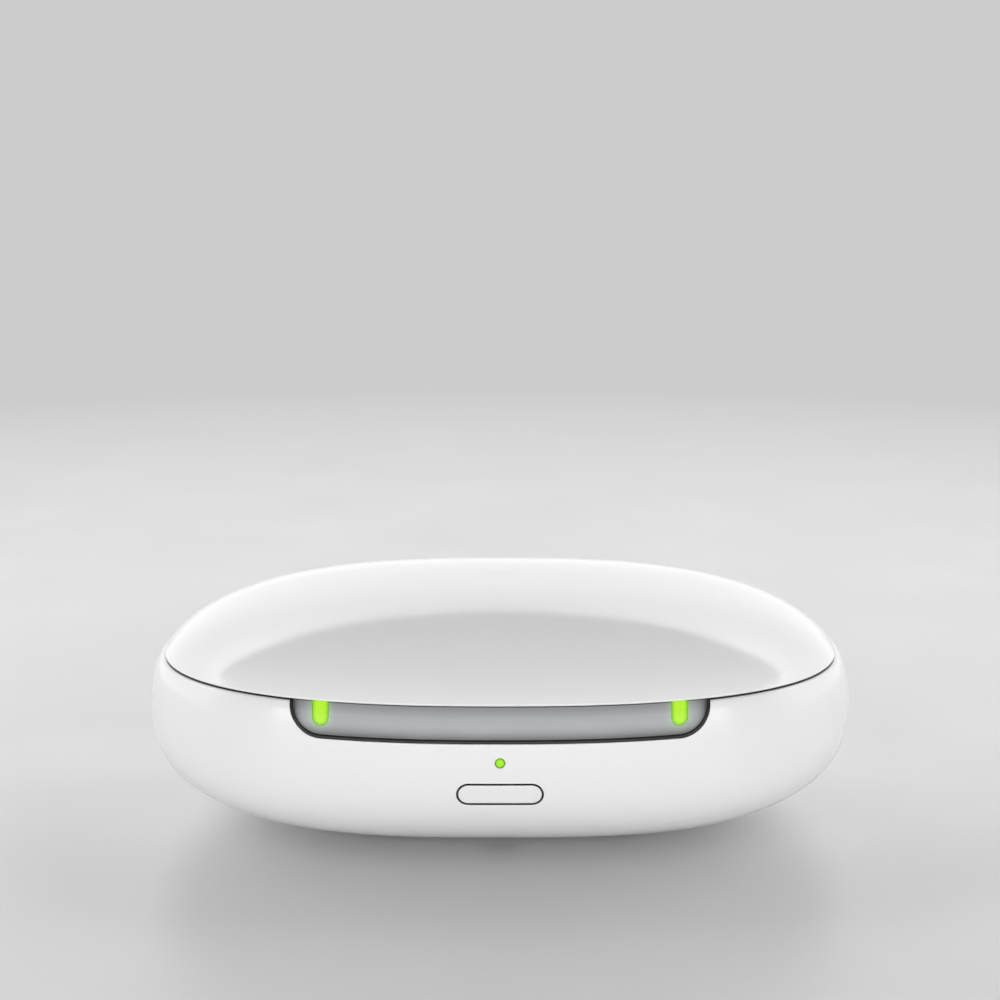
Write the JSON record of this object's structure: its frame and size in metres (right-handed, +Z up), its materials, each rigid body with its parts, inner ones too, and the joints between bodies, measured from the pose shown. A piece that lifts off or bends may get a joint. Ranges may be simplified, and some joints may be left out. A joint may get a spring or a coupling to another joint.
{
  "type": "hearing aid charger",
  "caption": "Rounded white charging case for hearing aids with a hinged lid, lit front window, cradles, receiver well and a push button.",
  "frame": {"origin": "centre of the closed case's box, on the surface that the feet stand on", "axes": "+X along the case's length to the right, +Y from the button side to the hinge side, +Z up"},
  "size_m": [0.11, 0.077, 0.0377],
  "materials": {
    "white_shell": "moulded, high gloss",
    "screw_steel": "plated screw",
    "foot_rubber": "matt silicone",
    "gasket_rubber": "matt black",
    "inner_grey": "fine spark-eroded texture",
    "cradle_grey": "soft-touch",
    "pad_rubber": "soft moulded pad",
    "coil_copper": "enamelled copper winding",
    "ferrite": "ferrite sheet",
    "board_green": "solder mask",
    "chip_black": "moulded package",
    "connector_white": "nylon",
    "led_white": "phosphor-filled package",
    "window_grey": "satin grey panel",
    "green_light": "lit light pipe",
    "battery_foil": "pouch foil",
    "tape_foam": "foam tape",
    "lead_red": "insulated wire",
    "usb_steel": "stamped steel",
    "magnet_nickel": "nickel plated",
    "hinge_steel": "satin steel",
    "pin_steel": "ground steel",
    "plunger_black": "nylon"
  },
  "bodies": {
    "base": {"base_hinge_bracket": "hinge_steel", "base_hinge_screws": "screw_steel", "base_magnets": "magnet_nickel", "base_shell": "white_shell", "battery": "battery_foil", "battery_connector": "connector_white", "battery_lead": "lead_red", "battery_tape": "tape_foam", "board_chips": "chip_black", "board_header": "chip_black", "board_screws": "screw_steel", "bottom_cover": "white_shell", "bottom_screws": "screw_steel", "button_switch": "chip_black", "charging_coil_left": "coil_copper", "charging_coil_right": "coil_copper", "charging_deck": "inner_grey", "cradle_liner_left": "cradle_grey", "cradle_liner_right": "cradle_grey", "ferrite_shields": "ferrite", "front_board": "board_green", "front_window": "window_grey", "hinge_pin": "pin_steel", "lid_bumpers": "foot_rubber", "light_leds": "led_white", "light_pipe_left": "green_light", "light_pipe_right": "green_light", "main_board": "board_green", "rubber_feet": "foot_rubber", "status_lens": "green_light", "usb_c_shell": "usb_steel", "usb_c_tongue": "chip_black", "window_gasket": "gasket_rubber"},
    "lid": {"lid_shell": "white_shell", "lid_liner": "inner_grey", "hold_down_pad_left": "pad_rubber", "hold_down_pad_right": "pad_rubber", "lid_magnets": "magnet_nickel", "lid_hinge_bracket": "hinge_steel", "lid_hinge_screws": "screw_steel"},
    "button": {"front_button": "white_shell", "switch_plunger": "plunger_black"}
  },
  "joints": [
    {"name": "lid_hinge", "type": "hinge", "parent": "base", "child": "lid", "pos_m": [0, 0.0366, 0.02676], "axis": [-1, 0, 0], "range_deg": [0, 105]},
    {"name": "button_press", "type": "slide", "parent": "base", "child": "button", "axis": [0, 1, 0], "range_m": [0, 0.0005], "stiffness_N_per_m": 3000}
  ]
}
